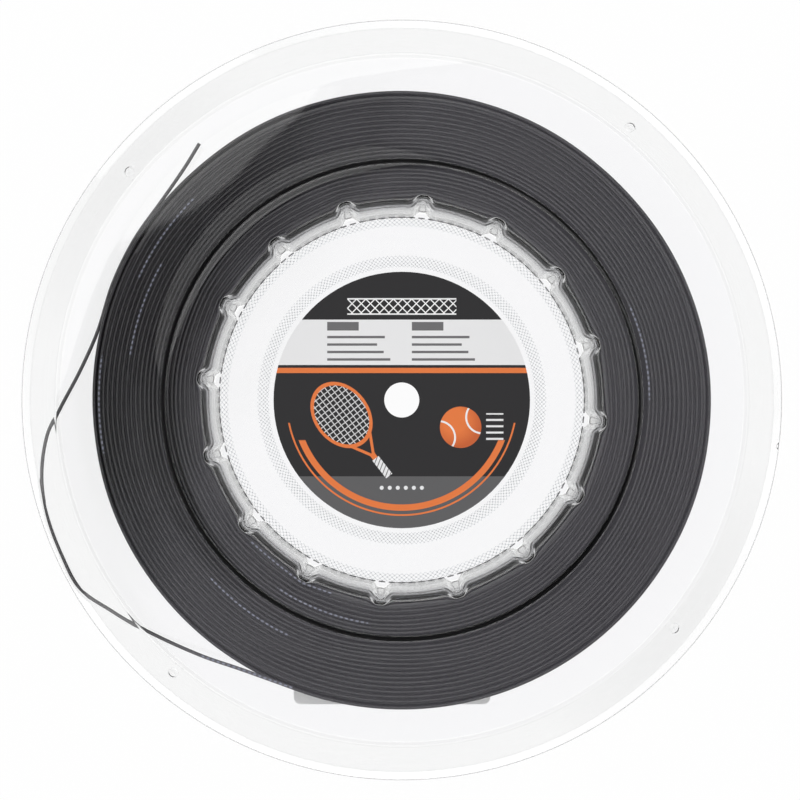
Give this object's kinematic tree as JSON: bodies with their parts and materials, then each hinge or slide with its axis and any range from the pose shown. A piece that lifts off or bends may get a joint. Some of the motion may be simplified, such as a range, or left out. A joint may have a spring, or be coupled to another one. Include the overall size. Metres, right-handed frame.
{
  "type": "string reel",
  "caption": "Flat clear plastic reel with a ribbed, recessed hub, a spindle hole and inward-sloping rims, holding a winding of dark racket string whose last turn has sprung loose.",
  "frame": {"origin": "on the hub axis, half-way through the reel's thickness", "axes": "+Z along the hub axis, out of the labelled front face; +X to the right and +Y up as the label is read"},
  "size_m": [0.2652, 0.2652, 0.0228],
  "materials": {
    "clear_sheet": "clear glossy vacuum-formed sheet",
    "label_print": "satin print, charcoal with orange and light grey",
    "sticker_paper": "matt pale sticker",
    "string": "dark smooth monofilament, semi-gloss"
  },
  "bodies": {
    "root": {"front_shell": "clear_sheet", "rear_shell": "clear_sheet", "front_label": "label_print", "rear_sticker": "sticker_paper", "winding_core": "string", "winding_outer_layer": "string", "loose_string_end": "string"}
  },
  "joints": []
}
